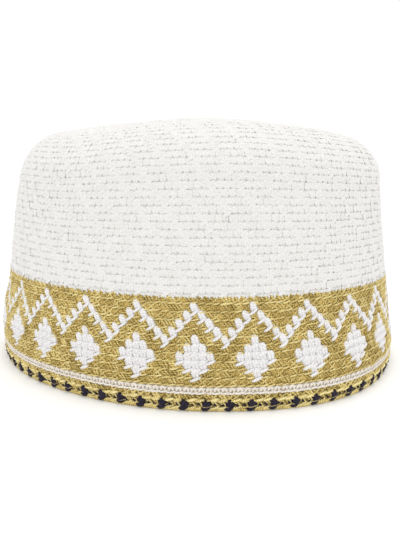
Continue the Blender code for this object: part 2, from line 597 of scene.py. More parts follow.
def add_mesh(name: str, mesh: YarnMesh, material: bpy.types.Material) -> bpy.types.Object:
    """Puts the arrays into a smooth-shaded object at the origin.

    Args:
        name: The piece's name.
        mesh: Its arrays.
        material: Its finish.

    Returns:
        The new object.
    """
    data = bpy.data.meshes.new(name)
    data.vertices.add(len(mesh.points))
    data.vertices.foreach_set("co", mesh.points.astype(np.float32).ravel())
    data.loops.add(mesh.faces.size)
    data.loops.foreach_set("vertex_index", mesh.faces.astype(np.int32).ravel())
    data.polygons.add(len(mesh.faces))
    data.polygons.foreach_set("loop_start", np.arange(0, mesh.faces.size, 4, dtype=np.int32))
    data.polygons.foreach_set("use_smooth", np.ones(len(mesh.faces), dtype=bool))
    data.update(calc_edges=True)
    layer = data.uv_layers.new(name="UVMap")
    layer.data.foreach_set("uv", mesh.corners.astype(np.float32).ravel())
    tint = data.attributes.new("tint", "FLOAT", "POINT")
    tint.data.foreach_set("value", mesh.tint.astype(np.float32))
    ends = np.empty(2 * len(data.edges), dtype=np.int32)
    data.edges.foreach_get("vertices", ends)
    data.edges.foreach_set("use_edge_sharp", mesh.sharp[ends.reshape(-1, 2)].all(axis=1))
    data.validate()
    data.materials.append(material)
    piece = bpy.data.objects.new(name, data)
    bpy.context.collection.objects.link(piece)
    log.info("%s: %d faces", name, len(data.polygons))
    return piece


@dataclass
class Nodes:
    """A short way to make a material and write its node tree."""

    name: str
    material: bpy.types.Material = field(init=False)

    def __post_init__(self) -> None:
        """Makes the material with its plain surface."""
        self.material = bpy.data.materials.new(self.name)
        self.material.use_nodes = True

    @property
    def surface(self) -> bpy.types.Node:
        """The node of the material's surface."""
        return self.material.node_tree.nodes["Principled BSDF"]

    def add(self, kind: str, **settings: object) -> bpy.types.Node:
        """A new node with its properties set.

        Args:
            kind: The type of node.
            settings: Its properties by name.

        Returns:
            The node.
        """
        node = self.material.node_tree.nodes.new(kind)
        for key, value in settings.items():
            setattr(node, key, value)
        return node

    def link(self, source: bpy.types.NodeSocket, target: bpy.types.NodeSocket) -> None:
        """Joins an output to an input."""
        self.material.node_tree.links.new(source, target)

    def math(self, operation: str, first: object, second: object = None) -> bpy.types.NodeSocket:
        """A Math node of two values or sockets.

        Args:
            operation: What it works out.
            first: Its first value or socket.
            second: Its second one, where it takes two.

        Returns:
            Its result.
        """
        node = self.add("ShaderNodeMath", operation=operation)
        for socket, value in zip(node.inputs, (first, second)):
            if isinstance(value, bpy.types.NodeSocket):
                self.link(value, socket)
            elif value is not None:
                socket.default_value = value
        return node.outputs[0]

    def weighted(self, first: object, weight: float, second: object, other: float) -> bpy.types.NodeSocket:
        """The sum of a first value times its weight and a second times the other."""
        return self.math("ADD", self.math("MULTIPLY", first, weight), self.math("MULTIPLY", second, other))

    def places(self) -> tuple[bpy.types.NodeSocket, bpy.types.NodeSocket]:
        """The UV map's two numbers.

        Returns:
            The first and the second of them.
        """
        place = self.add("ShaderNodeSeparateXYZ")
        self.link(self.add("ShaderNodeUVMap", uv_map="UVMap").outputs[0], place.inputs[0])
        return place.outputs[0], place.outputs[1]

    def noise(self, scale: float, detail: float) -> bpy.types.NodeSocket:
        """A noise value through the object's own space.

        Args:
            scale: Its spots to the metre.
            detail: How many finer layers it has.

        Returns:
            The value, about a half.
        """
        spot = self.add("ShaderNodeTexCoord").outputs["Object"]
        node = self.add("ShaderNodeTexNoise")
        node.inputs["Scale"].default_value = scale
        node.inputs["Detail"].default_value = detail
        self.link(spot, node.inputs["Vector"])
        return node.outputs["Fac"]

    def colour(self, level: bpy.types.NodeSocket, stops: tuple[float, ...], *colours: tuple) -> None:
        """Colours the surface by a ramp.

        Args:
            level: The value that picks the colour.
            stops: The ramp's levels.
            colours: The colour at each of them.
        """
        node = self.add("ShaderNodeValToRGB")
        band = node.color_ramp
        while len(band.elements) < len(stops):
            band.elements.new(0.5)
        for element, place, colour in zip(band.elements, stops, colours):
            element.position = place
            element.color = (*colour, 1)
        self.link(level, node.inputs[0])
        self.link(node.outputs[0], self.surface.inputs["Base Color"])

    def uniform(self, numbers: dict[str, float]) -> None:
        """Sets numbers that are the same all over on the surface's own sockets."""
        for name, number in numbers.items():
            self.surface.inputs[name].default_value = number

    def relief(self, height: bpy.types.NodeSocket, strength: float, distance: float) -> None:
        """Bumps the surface.

        Args:
            height: The height as a value.
            strength: How much of the bump is taken.
            distance: What a height of 1 is, in metres.
        """
        bump = self.add("ShaderNodeBump")
        bump.inputs["Strength"].default_value = strength
        bump.inputs["Distance"].default_value = distance
        self.link(height, bump.inputs["Height"])
        self.link(bump.outputs[0], self.surface.inputs["Normal"])


# Levels of the colours' ramps, the twist's part of the yarn's relief beside the fibres,
# and the finer layers of their noise
YARN_STOPS = (0.12, 0.5, 0.9)
GROUND_STOPS = (0.2, 0.8)
TWIST_RELIEF = 0.75
FIBRE_DETAIL = 3.0


@dataclass(frozen=True)
class YarnFinish:
    """A twisted yarn: its colours in linear light, from painted shade in the grooves
    between plies through the yarn's own colour to painted highlight on their crests, its
    gloss, and its twist.

    The twist is a sine of the place around the yarn times the plies plus the place
    along it over the lay, which is the length of one turn; it lays the painted shade and
    the painted highlight along the plies. Variation is the part that each stitch's tint,
    with the painted light of its strands, and the fibres have in the colour, beside the
    twist. The fibres are a fine noise, made stronger by the speck. Bump is the strength
    of the relief, and depth is its height in metres."""

    name: str
    groove: tuple[float, float, float]
    body: tuple[float, float, float]
    crest: tuple[float, float, float]
    bump: float
    variation: float
    roughness: float = 0.85
    metallic: float = 0.0
    sheen: float = 0.15
    specular: float = 0.3
    plies: int = 2
    lay: float = 0.0011
    fibre: float = 1400.0
    speck: float = 1.0
    depth: float = 0.0002

    def build(self) -> bpy.types.Material:
        """The finish as a node material.

        Returns:
            The material, which reads the yarn's own UV map and its tint.
        """
        nodes = Nodes(self.name)
        run, side = nodes.places()
        along = nodes.math("MULTIPLY", run, TURN / self.lay)
        around = nodes.math("MULTIPLY", side, TURN * self.plies)
        twist = nodes.math("SINE", nodes.math("ADD", along, around))
        height = nodes.math("MULTIPLY", nodes.math("ADD", twist, 1.0), 0.5)
        fine = nodes.noise(self.fibre, FIBRE_DETAIL)
        fine = nodes.math("ADD", nodes.math("MULTIPLY", fine, self.speck), (1 - self.speck) / 2)
        tint = nodes.add("ShaderNodeAttribute", attribute_name="tint").outputs["Fac"]
        uneven = nodes.weighted(tint, 0.5, fine, 0.5)
        level = nodes.weighted(height, 1 - self.variation, uneven, self.variation)
        # Painted shade where the twist is low, the yarn's own colour between, painted highlight where it is
        # high
        nodes.colour(level, YARN_STOPS, self.groove, self.body, self.crest)
        nodes.uniform({"Roughness": self.roughness, "Metallic": self.metallic,
                       "Specular IOR Level": self.specular, "Sheen Weight": self.sheen})
        nodes.relief(nodes.weighted(height, TWIST_RELIEF, fine, 1 - TWIST_RELIEF), self.bump, self.depth)
        return nodes.material


# Each finish: painted shade in the grooves, then the yarn's own colour, then painted highlight on the
# crests
COTTON = YarnFinish("cotton_yarn", (0.655, 0.643, 0.62), (0.712, 0.70, 0.676), (0.77, 0.76, 0.74),
                    bump=0.22, variation=0.35, speck=0.4)
# The stripe's white yarn is warmer than the other white yarn: painted reflection of the gold rounds beside
# it
STRIPE_COTTON = YarnFinish("stripe_cotton_yarn", (0.62, 0.55, 0.46), (0.79, 0.74, 0.67), (0.85, 0.81, 0.75),
                           bump=0.3, variation=0.35, speck=0.6)
MOTIF_COTTON = YarnFinish("motif_cotton_yarn", (0.65, 0.635, 0.63), (0.75, 0.735, 0.735),
                          (0.80, 0.79, 0.79), bump=0.5, variation=0.3, roughness=0.8)
# The lurex's strong speck spreads the fibre noise into bright and dark flecks: partly the yarn's uneven
# fibres, partly painted glints of its metal
LUREX = YarnFinish("lurex_yarn", (0.18, 0.125, 0.025), (0.64, 0.475, 0.145), (0.95, 0.84, 0.43),
                   bump=0.9, variation=0.6, roughness=0.42, metallic=0.35, sheen=0.0, lay=0.0009,
                   fibre=1900.0, speck=2.2)
DARK_THREAD = YarnFinish("dark_thread_yarn", (0.006, 0.004, 0.010), (0.011, 0.007, 0.019),
                         (0.032, 0.024, 0.05), bump=0.7, variation=0.3, roughness=0.55, sheen=0.0,
                         specular=0.22, lay=0.0009)


@dataclass(frozen=True)
class GroundFinish:
    """The thin cloth behind the stitches: soft rows and columns of loops, each a sine
    with its own height, and a fine noise. Its colour wanders a little with the noise and
    follows the loops, as painted shade in the hollows between them and painted highlight
    on their tops. Bump is the strength of the relief, and depth is its height in metres."""

    name: str
    low: tuple[float, float, float]
    high: tuple[float, float, float]
    roughness: float = 0.9
    metallic: float = 0.0
    column_height: float = 0.2
    round_height: float = 0.3
    loop_part: float = 0.5
    grain: float = 900.0
    bump: float = 0.8
    depth: float = 0.0004

    def build(self) -> bpy.types.Material:
        """The finish as a node material.

        Returns:
            The material, which reads the cloth's own UV map in stitches and rounds.
        """
        nodes = Nodes(self.name)
        across, up = nodes.places()
        columns = nodes.math("SINE", nodes.math("MULTIPLY", across, TURN))
        rounds = nodes.math("SINE", nodes.math("MULTIPLY", up, TURN))
        loops = nodes.weighted(columns, self.column_height, rounds, self.round_height)
        fine = nodes.noise(self.grain, FIBRE_DETAIL)
        level = nodes.math("ADD", nodes.math("MULTIPLY", loops, self.loop_part), fine)
        # Painted shade in the loops' hollows, painted highlight on their tops, and the noise's own wander
        nodes.colour(level, GROUND_STOPS, self.low, self.high)
        nodes.uniform({"Roughness": self.roughness, "Metallic": self.metallic})
        nodes.relief(level, self.bump, self.depth)
        return nodes.material


# The white cloth is lighter than the white yarn: painted light that lightens the pits between the stitches
WHITE_GROUND = GroundFinish("white_ground_cloth", (0.90, 0.89, 0.87), (0.93, 0.92, 0.90))
STRIPE_GROUND = GroundFinish("stripe_ground_cloth", (0.44, 0.37, 0.27), (0.58, 0.50, 0.38))
GOLD_GROUND = GroundFinish("gold_ground_cloth", (0.40, 0.28, 0.07), (0.66, 0.48, 0.15), 0.6, 0.2)

# How deep the ground cloth lies under the crests of the yarn, behind gold and behind
# white stitches, in metres
GOLD_DEPTH = 0.00078
WHITE_DEPTH = 0.00063

# Faces round a hoop of ground cloth, and in metres the radius of the crown cloth's last
# ring and the height of the ridges on the inner side
HOOP_COLUMNS = 104
POLE = 0.0004
RIDGE = 0.00022


def pole_faces(ring: np.ndarray) -> np.ndarray:
    """Faces that fill a small ring, as a ladder between its two halves.

    Args:
        ring: Numbers of its points.

    Returns:
        Four point numbers a face, one row each.
    """
    rung = np.arange(len(ring) // 2 - 1)
    back = len(ring) - 1 - rung
    return ring[np.stack([rung, rung + 1, back - 1, back], axis=-1)]


def cloth_hoop(form: CapForm, bottom: float, top: float, rings: int, depth: float) -> YarnMesh:
    """A closed hoop of ground cloth between two courses: one grid of rings at a depth
    under the face, one at the fabric's depth that goes in and out by the ridge with
    each ring, and a strip that closes each edge. At the crown's middle, faces over
    the last rings close it instead.

    Args:
        form: The cap's outer face.
        bottom: Course of the lower edge.
        top: Course of the upper edge.
        rings: Rings of faces between them.
        depth: How deep its outer side lies under the crests of the yarn.

    Returns:
        The hoop's mesh.
    """
    levels = np.linspace(bottom, top, rings + 1)
    course, share = np.meshgrid(levels, np.arange(HOOP_COLUMNS) / HOOP_COLUMNS, indexing="ij")
    ridge = RIDGE * (1 - 2 * (np.arange(rings + 1) % 2))[:, None]
    outer_points = form.points(share, course, np.full_like(share, -depth))
    inner_points = form.points(share, course, ridge - form.fabric + np.zeros_like(share))
    if bottom == 0:
        outer_points[0, :, 2] = 0
        inner_points[0, :, 2] = 0
    points = np.concatenate([outer_points, inner_points]).reshape(-1, 3)
    outer = np.arange(share.size).reshape(share.shape)
    inner = outer + share.size
    wall = strips(outer[:-1], outer[1:])
    lining = strips(inner[:-1], inner[1:])[:, ::-1]
    under = strips(inner[0], outer[0])
    if top < form.middle_course - POLE:
        over = strips(outer[-1], inner[-1])
    else:
        over = np.concatenate([pole_faces(outer[-1]), pole_faces(inner[-1])[:, ::-1]])
    faces = np.concatenate([wall, lining, under, over])
    places = cloth_places(faces, share, course)
    return YarnMesh(points, faces, places, np.full(len(points), 0.5), np.zeros(len(points), dtype=bool))


def cloth_places(faces: np.ndarray, share: np.ndarray, course: np.ndarray) -> np.ndarray:
    """Each corner's place in the cloth, unwrapped at the seam: a face that reaches over
    more than half the round has its corners past the seam counted on.

    Args:
        faces: Four point numbers a face, on the outer or the inner side.
        share: Shares of a round of either side's points.
        course: Courses of either side's points.

    Returns:
        A place in columns across and in rounds up for each corner.
    """
    across = np.tile(share.ravel() * HOOP_COLUMNS, 2)[faces]
    up = np.tile(course.ravel() / GAUGE.height, 2)[faces]
    wrapped = across.max(axis=1) - across.min(axis=1) > HOOP_COLUMNS / 2
    seam = wrapped[:, None] & (across < HOOP_COLUMNS / 2)
    return np.stack([across + seam * HOOP_COLUMNS, up], axis=-1)


# Stitches of the white rounds. The arch's two broad flat legs fill the cell and narrow
# to their feet, which leaves one small pit over the flat loop between two stitches
WHITE_STITCH = stitch(
    Strand(((-0.09, -0.12, -0.44), (-0.16, 0.48, -0.40), (-0.22, 0.68, -0.39), (0.26, 0.72, -0.39),
            (0.24, 0.50, -0.40), (0.22, -0.12, -0.44)), 1.06, 0.50, 6, 4, 0.22),
    Strand(((-0.66, -0.28, -0.56), (-0.25, -0.22, -0.44), (0.25, -0.14, -0.43), (0.68, -0.10, -0.56)),
           0.64, 0.6, 4, 4, 0.22),
)
# Every fourth stitch: prouder, with its arch and most of all its loop lightened by painted highlight
CHANGE_STITCH = stitch(
    Strand(((-0.04, -0.12, -0.50), (-0.22, 0.28, -0.36), (-0.24, 0.70, -0.26), (0.28, 0.74, -0.26),
            (0.30, 0.32, -0.36), (0.26, -0.10, -0.50)), 1.12, 0.62, 6, 4, 0.34, 0.3),
    Strand(((-0.74, -0.40, -0.60), (-0.28, -0.24, -0.30), (0.28, 0.02, -0.24), (0.78, 0.18, -0.58)),
           0.70, 0.5, 4, 4, 0.4, 0.8),
)

# Stitches of the diamonds, rounder, with two lobes over the loop above them. One flat
# strand closes the slits above the feet, and a wider one hides the gold cloth
DIAMOND_STITCH = stitch(
    Strand(((0.00, -0.10, -0.80), (-0.12, 0.22, -0.56), (-0.24, 0.55, -0.46), (-0.32, 0.86, -0.40),
            (-0.08, 0.96, -0.56), (0.14, 0.90, -0.40), (0.22, 0.56, -0.46), (0.29, 0.22, -0.56),
            (0.40, -0.10, -0.80)), 0.84, 0.42, 10, 6, 0.55),
    Strand(((-0.72, -0.50, -0.70), (-0.30, -0.32, -0.32), (0.26, -0.12, -0.28), (0.82, 0.14, -0.68)),
           0.60, 0.40, 5, 6),
    Strand(((-0.54, 0.64, -0.60), (-0.02, 0.66, -0.48), (0.48, 0.64, -0.60)), 0.90, 0.9, 3, 4, 0.22),
    Strand(((-0.54, 0.34, -0.76), (0.05, 0.34, -0.70), (0.58, 0.34, -0.76)), 1.70, 1.0, 3, 4, 0.10),
)
# Stitches of the zigzag, which lean, each with a loop that runs on to the next one
ZIGZAG_STITCH = stitch(
    Strand(((0.07, -0.10, -0.80), (-0.09, 0.22, -0.56), (-0.26, 0.55, -0.46), (-0.38, 0.86, -0.40),
            (-0.18, 0.96, -0.56), (0.02, 0.90, -0.40), (0.17, 0.56, -0.46), (0.31, 0.22, -0.56),
            (0.48, -0.10, -0.80)), 0.82, 0.42, 10, 6, 0.55),
    Strand(((-0.70, -0.53, -0.70), (-0.28, -0.35, -0.32), (0.24, -0.04, -0.28), (0.72, 0.40, -0.68)),
           0.56, 0.40, 5, 6),
    Strand(((-0.58, 0.66, -0.60), (-0.06, 0.68, -0.48), (0.44, 0.66, -0.60)), 0.84, 0.9, 3, 4, 0.22),
    Strand(((0.34, -0.22, -0.78), (0.06, 0.34, -0.70), (-0.20, 0.86, -0.78)), 1.36, 0.95, 3, 4, 0.12),
)
# Stitches of the white stripe round, with the loop a little lightened by painted highlight
STRIPE_STITCH = stitch(
    Strand(((-0.28, 0.00, -0.80), (-0.25, 0.32, -0.62), (-0.25, 0.58, -0.54), (-0.18, 0.84, -0.60),
            (0.08, 0.84, -0.60), (0.20, 0.58, -0.54), (0.24, 0.32, -0.62), (0.26, 0.00, -0.80)),
           0.56, 0.56, 9, 6, 0.6),
    Strand(((-0.66, -0.36, -0.76), (-0.25, -0.28, -0.58), (0.25, -0.14, -0.54), (0.68, -0.04, -0.76)),
           0.62, 0.7, 5, 6, 0.55, 0.1),
    Strand(((-0.52, 0.62, -0.68), (0.02, 0.64, -0.58), (0.54, 0.62, -0.68)), 0.66, 0.9, 3, 4, 0.25),
)
# The end of a white stitch's loop, which reaches down into the band's first gold round
LOOP_TOOTH = stitch(
    Strand(((0.04, -0.12, -0.36), (0.08, -0.32, -0.10), (0.14, -0.62, -0.44)), 0.50, 0.6, 3, 4, 0.8),
)
# Gold stitches of thinner yarn, in two kinds: two strands that cross the cell, and two
# that lean side by side, both over a thin loop made bright by painted highlight, with
# their strands a little darker and lighter by painted shade and highlight. The share is the crossed kind's
CROSSED_SHARE = 0.6
GOLD_LOOP = Strand(((-0.58, -0.10, -0.66), (-0.25, -0.08, -0.40), (0.22, 0.03, -0.36), (0.58, 0.07, -0.64)),
                   0.38, 0.7, 5, 4, 1.0, 0.6)
GOLD_STITCH = stitch(
    Strand(((-0.60, 0.02, -0.95), (-0.30, 0.24, -0.58), (0.02, 0.50, -0.48), (0.30, 0.74, -0.56),
            (0.56, 0.96, -0.90)), 0.48, 0.8, 5, 4),
    Strand(((-0.58, 0.92, -0.90), (-0.28, 0.66, -0.60), (0.04, 0.40, -0.62), (0.32, 0.18, -0.62),
            (0.58, -0.02, -0.90)), 0.48, 0.8, 5, 4, 1.0, -0.1),
    GOLD_LOOP,
)
GOLD_TWIN = stitch(
    Strand(((-0.60, 0.86, -0.86), (-0.34, 0.66, -0.58), (-0.06, 0.42, -0.52), (0.22, 0.04, -0.86)),
           0.50, 0.8, 5, 4, 1.0, -0.1),
    Strand(((-0.10, 0.98, -0.84), (0.14, 0.70, -0.54), (0.36, 0.42, -0.54), (0.62, 0.16, -0.88)),
           0.50, 0.8, 5, 4, 1.0, 0.1),
    GOLD_LOOP,
)


@dataclass
class Wardrobe:
    """The finishes that the pieces share, made once."""

    cotton: bpy.types.Material = field(default_factory=COTTON.build)
    stripe: bpy.types.Material = field(default_factory=STRIPE_COTTON.build)
    motif: bpy.types.Material = field(default_factory=MOTIF_COTTON.build)
    gold: bpy.types.Material = field(default_factory=LUREX.build)
    dark: bpy.types.Material = field(default_factory=DARK_THREAD.build)
    white_ground: bpy.types.Material = field(default_factory=WHITE_GROUND.build)
    stripe_ground: bpy.types.Material = field(default_factory=STRIPE_GROUND.build)
    gold_ground: bpy.types.Material = field(default_factory=GOLD_GROUND.build)


def add_piece(name: str, mesh: YarnMesh, material: bpy.types.Material) -> bpy.types.Object:
    """Makes a piece and hangs it on the cap's body.

    Args:
        name: The piece's name.
        mesh: Its arrays.
        material: Its finish.

    Returns:
        The new piece.
    """
    piece = add_mesh(name, mesh, material)
    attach(piece, "root")
    return piece


def by_name(*pieces: bpy.types.Object) -> dict[str, bpy.types.Object]:
    """The pieces by their names."""
    return {piece.name: piece for piece in pieces}


def level_between(lower: str, upper: str) -> float:
    """The height of the join between two rounds, halfway across their gap."""
    return float(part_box(lower)[1][2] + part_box(upper)[0][2]) / 2


@dataclass
class Rounds:
    """Some rounds of the cap, worked over its outer face."""

    form: CapForm

    def lay(self, template: Template, cells: Cells, seed: int, hand: Hand = EASY_HAND) -> YarnMesh:
        """The stitch in each of the cells, as uneven as the hand."""
        return lay_stitches(self.form, template, cells, seed, hand)

    def lay_gold(self, cells: Cells, seed: int) -> YarnMesh:
        """Gold stitches of both kinds, drawn at random for each cell.

        Args:
            cells: Where the stitches lie.
            seed: The seed of the draws.

        Returns:
            One mesh of all the stitches.
        """
        crossed = np.random.default_rng(seed).random(len(cells.share)) < CROSSED_SHARE
        return joined([
            self.lay(GOLD_STITCH, cells.picked(crossed), seed, GOLD_HAND),
            self.lay(GOLD_TWIN, cells.picked(~crossed), seed + 1, GOLD_HAND),
        ])


@dataclass
class WhiteRounds(Rounds):
    """The white rounds of the side, shoulder and crown. Every fourth stitch changes to
    a second white yarn, a little further on in each round, which gives slanting ridges;
    these stitches stand prouder and are lightened by painted highlight."""

    start: float
    loop_drop: float = 0.0012
    round_height: float = 0.00278
    full_count: int = 208
    repeat: int = 4
    pitch: float = 0.00262
    drift: float = 0.77

    def round_counts(self, courses: np.ndarray) -> np.ndarray:
        """Stitches in each round: its length over the pitch, in whole repeats, and no
        more than the full count.

        Args:
            courses: The rounds' lower edges.

        Returns:
            One count a round.
        """
        length = self.form.perimeter(courses + self.round_height / 2)
        counts = self.repeat * np.round(length / self.pitch / self.repeat)
        return np.clip(counts, self.repeat, self.full_count).astype(int)

    def cells(self) -> tuple[Cells, np.ndarray, np.ndarray]:
        """All white cells, with each one's number in its round and its round's number.

        Returns:
            The cells, the numbers along the rounds and the rounds' numbers.
        """
        start = self.start + self.loop_drop
        rounds = int((self.form.middle_course - start) / self.round_height)
        height = (self.form.middle_course - start) / rounds
        courses = start + np.arange(rounds) * height
        counts = self.round_counts(courses)
        ring = np.repeat(np.arange(rounds), counts)
        first = np.cumsum(counts) - counts
        number = np.arange(counts.sum()) - first[ring]
        count = counts[ring].astype(float)
        share = (number - ring * self.drift) / count
        return Cells(share, courses[ring], count, np.full(len(ring), height)), number, ring

    def build(self, wardrobe: Wardrobe) -> dict[str, bpy.types.Object]:
        """Lays the stitches, split by height, with teeth under the first round.

        Args:
            wardrobe: The shared finishes.

        Returns:
            The new pieces by name.
        """
        cells, number, ring = self.cells()
        change = number % self.repeat == 0
        course = cells.course
        side_top = self.form.side_height
        halfway = (self.start + side_top) / 2
        splits = {
            "side_wall_lower_stitches": course < halfway,
            "side_wall_upper_stitches": (course >= halfway) & (course < side_top),
            "crown_shoulder_stitches": (course >= side_top) & (course < self.form.shoulder_end),
            "crown_top_stitches": course >= self.form.shoulder_end,
        }
        pieces = []
        for seed, (name, within) in enumerate(splits.items()):
            mesh = joined([
                self.lay(WHITE_STITCH, cells.picked(within & ~change), 20 + seed, WALL_HAND),
                self.lay(CHANGE_STITCH, cells.picked(within & change), 30 + seed),
                self.lay(LOOP_TOOTH, cells.picked(within & (ring == 0)), 35 + seed),
            ])
            pieces.append(add_piece(name, mesh, wardrobe.cotton))
        return by_name(*pieces)


@dataclass
class BandChart:
    """The band's pattern, counted in stitches: rounds from 1 at the top, and columns
    from a peak of the zigzag, which repeats every 8 stitches."""

    rounds: int = 11
    repeats: int = 26
    repeat: int = 8
    zigzag_top: int = 2
    zigzag_rounds: int = 5
    diamond_middle: int = 8
    diamond_reach: int = 2
    slip: float = 0.02

    def offset(self, column: np.ndarray) -> np.ndarray:
        """Each column's distance from the nearest peak, in stitches."""
        return np.abs((column + self.repeat // 2) % self.repeat - self.repeat // 2)

    def zigzag(self, row: np.ndarray, column: np.ndarray) -> np.ndarray:
        """True on the zigzag, as far from a peak as the round is below the zigzag's top."""
        below = row - self.zigzag_top
        return (below >= 0) & (below < self.zigzag_rounds) & (self.offset(column) == below)

    def diamond(self, row: np.ndarray, column: np.ndarray) -> np.ndarray:
        """True in a diamond, no further from its middle, across plus down, than its reach."""
        return self.offset(column) + np.abs(row - self.diamond_middle) <= self.diamond_reach

    def shifts(self, row: np.ndarray) -> np.ndarray:
        """How far the rounds have slipped sideways, in stitches."""
        return self.slip * (row - self.zigzag_top)


@dataclass
class PatternedBand(Rounds):
    """Eleven rounds of gold yarn with a white zigzag over white diamonds."""

    bottom: float
    top: float
    chart: BandChart = field(default_factory=BandChart)
    peak_turn: float = 13.9
    under_loops: float = 0.0009
    over_stripe: float = 0.0005

    def cells(self) -> tuple[Cells, np.ndarray, np.ndarray]:
        """The band's cells. The first round starts a little higher than the band shows,
        under the loops of the white round above, and the last one ends a little over
        the stripe's stitches.

        Returns:
            The cells, which of them are the zigzag's, and which are the diamonds'.
        """
        chart = self.chart
        count = chart.repeats * chart.repeat
        row, column = np.meshgrid(np.arange(1, chart.rounds + 1), np.arange(count), indexing="ij")
        top = self.top + self.under_loops
        height = (top - self.bottom - self.over_stripe) / chart.rounds
        share = ((column + chart.shifts(row)) / count + self.peak_turn / 360).ravel()
        course = (top - row * height).ravel()
        cells = Cells(share, course, np.full(share.size, float(count)), np.full(share.size, height))
        return cells, chart.zigzag(row, column).ravel(), chart.diamond(row, column).ravel()

    def build(self, wardrobe: Wardrobe) -> dict[str, bpy.types.Object]:
        """Lays the gold and the white stitches.

        Args:
            wardrobe: The shared finishes.

        Returns:
            The new pieces by name.
        """
        cells, zigzag, diamond = self.cells()
        gold = ~(zigzag | diamond)
        upper = cells.course > (self.bottom + self.top) / 2
        gold_upper = self.lay_gold(cells.picked(gold & upper), 40)
        gold_lower = self.lay_gold(cells.picked(gold & ~upper), 42)
        motifs = joined([
            self.lay(ZIGZAG_STITCH, cells.picked(zigzag), 41, MOTIF_HAND),
            self.lay(DIAMOND_STITCH, cells.picked(diamond), 44, MOTIF_HAND),
        ])
        return by_name(
            add_piece("patterned_band_gold_upper", gold_upper, wardrobe.gold),
            add_piece("patterned_band_gold_lower", gold_lower, wardrobe.gold),
            add_piece("patterned_band_motifs", motifs, wardrobe.motif),
        )


def round_of(count: int, bottom: float, top: float, turn: float) -> Cells:
    """One round of even cells between two courses, turned by degrees from the front."""
    share = np.arange(count) / count + turn / 360
    return Cells(share, np.full(count, bottom), np.full(count, float(count)), np.full(count, top - bottom))


# Strands of the edging's hearts, in the cells of its last round
HEART_TOP = stitch(
    Strand(((-0.54, 0.58, -0.75), (-0.30, 0.76, -0.46), (-0.06, 1.00, -0.46), (0.24, 0.76, -0.44),
            (0.72, 0.52, -0.75)), 0.66, 0.5, 8, 6),
    Strand(((-0.54, 0.58, -0.70), (-0.04, 0.63, -0.36), (0.66, 0.54, -0.70)), 0.92, 0.4, 5, 6),
)
HEART_LOOP = stitch(
    Strand(((-0.84, 0.12, -0.72), (-0.36, 0.16, -0.34), (0.10, 0.20, -0.32), (0.52, 0.32, -0.70)),
           0.78, 0.4, 6, 6),
)
# A thin gold thread across a heart's waist, lightened by painted highlight
WAIST_THREAD = stitch(
    Strand(((-0.76, 0.30, -0.50), (-0.34, 0.38, 0.02), (0.20, 0.42, 0.04), (0.86, 0.58, -0.45)),
           0.12, 0.7, 6, 4, 1.0, 0.6),
)
# Gold stitches of the last round, with the second strand and the loop lightened by painted highlight
EDGE_STITCH = stitch(
    Strand(((-0.46, 0.96, -0.80), (-0.20, 0.78, -0.50), (0.06, 0.54, -0.50), (0.32, 0.30, -0.80)),
           0.34, 0.7, 5, 4),
    Strand(((-0.06, 0.98, -0.80), (0.18, 0.80, -0.50), (0.42, 0.56, -0.50), (0.66, 0.34, -0.80)),
           0.34, 0.7, 5, 4, 1.0, 0.4),
    Strand(((-0.74, 0.08, -0.75), (-0.25, 0.16, -0.42), (0.25, 0.26, -0.42), (0.74, 0.40, -0.75)),
           0.44, 0.7, 6, 4, 1.0, 0.6),
)
CARRIED_FLECK = stitch(
    Strand(((-0.30, 0.74, -0.60), (0.02, 0.56, -0.22), (0.34, 0.40, -0.60)), 0.34, 0.4, 4, 4),
)
# The bright loops of the edging's gold round, made bright by painted highlight
EDGE_LOOP = stitch(
    Strand(((-0.66, -0.04, -0.66), (-0.25, 0.02, -0.36), (0.22, 0.16, -0.34), (0.66, 0.22, -0.64)),
           0.62, 0.7, 5, 4, 1.0, 1.0),
)
# The hem's roll, a little lightened by painted highlight
HEM_ROLL = stitch(
    Strand(((-0.66, 0.15, -0.66), (-0.20, 0.17, -0.50), (0.22, 0.21, -0.50), (0.68, 0.24, -0.66)),
           0.52, 0.9, 4, 6, 1.0, 0.2),
)


@dataclass
class Edging(Rounds):
    """The last rounds: one of gold, then one of gold with a dark heart at every third
    stitch, and the hem that the cap stands on."""

    top: float
    stitches: int = 210
    heart_every: int = 3
    heart_top: float = 0.0043
    heart_bottom: float = 0.0006
    heart_turn: float = 11.7
    under_stripe: float = 0.0004
    cloth_rings: int = 3

    def build(self, wardrobe: Wardrobe) -> dict[str, bpy.types.Object]:
        """Lays the gold stitches with their cloth, and the dark hearts.

        Args:
            wardrobe: The shared finishes.

        Returns:
            The new pieces by name.
        """
        gold_round = round_of(self.stitches, self.heart_top, self.top + self.under_stripe, self.heart_turn)
        last = round_of(self.stitches, self.heart_bottom, self.heart_top, self.heart_turn)
        hem = round_of(self.stitches, 0.0, GAUGE.height, self.heart_turn)
        heart = np.arange(self.stitches) % self.heart_every == 0
        gold = joined([
            cloth_hoop(self.form, 0.0, self.top, self.cloth_rings, GOLD_DEPTH),
            self.lay_gold(gold_round, 50),
            self.lay(EDGE_LOOP, gold_round.picked(~heart), 57),
            self.lay(EDGE_STITCH, last.picked(~heart), 51, EDGE_HAND),
            self.lay(WAIST_THREAD, last.picked(heart), 52),
            self.lay(HEM_ROLL, hem, 56, HEM_HAND),
        ])
        dark = joined([
            self.lay(HEART_TOP, last.picked(heart), 53, HEART_HAND),
            self.lay(HEART_LOOP, last.picked(heart), 54, HEART_HAND),
            self.lay(CARRIED_FLECK, last.picked(~heart), 55),
        ])
        edging = add_piece("edging_rounds", gold, wardrobe.gold)
        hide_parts("edging")
        hearts = add_piece("edging_hearts", dark, wardrobe.dark)
        return by_name(edging, hearts)


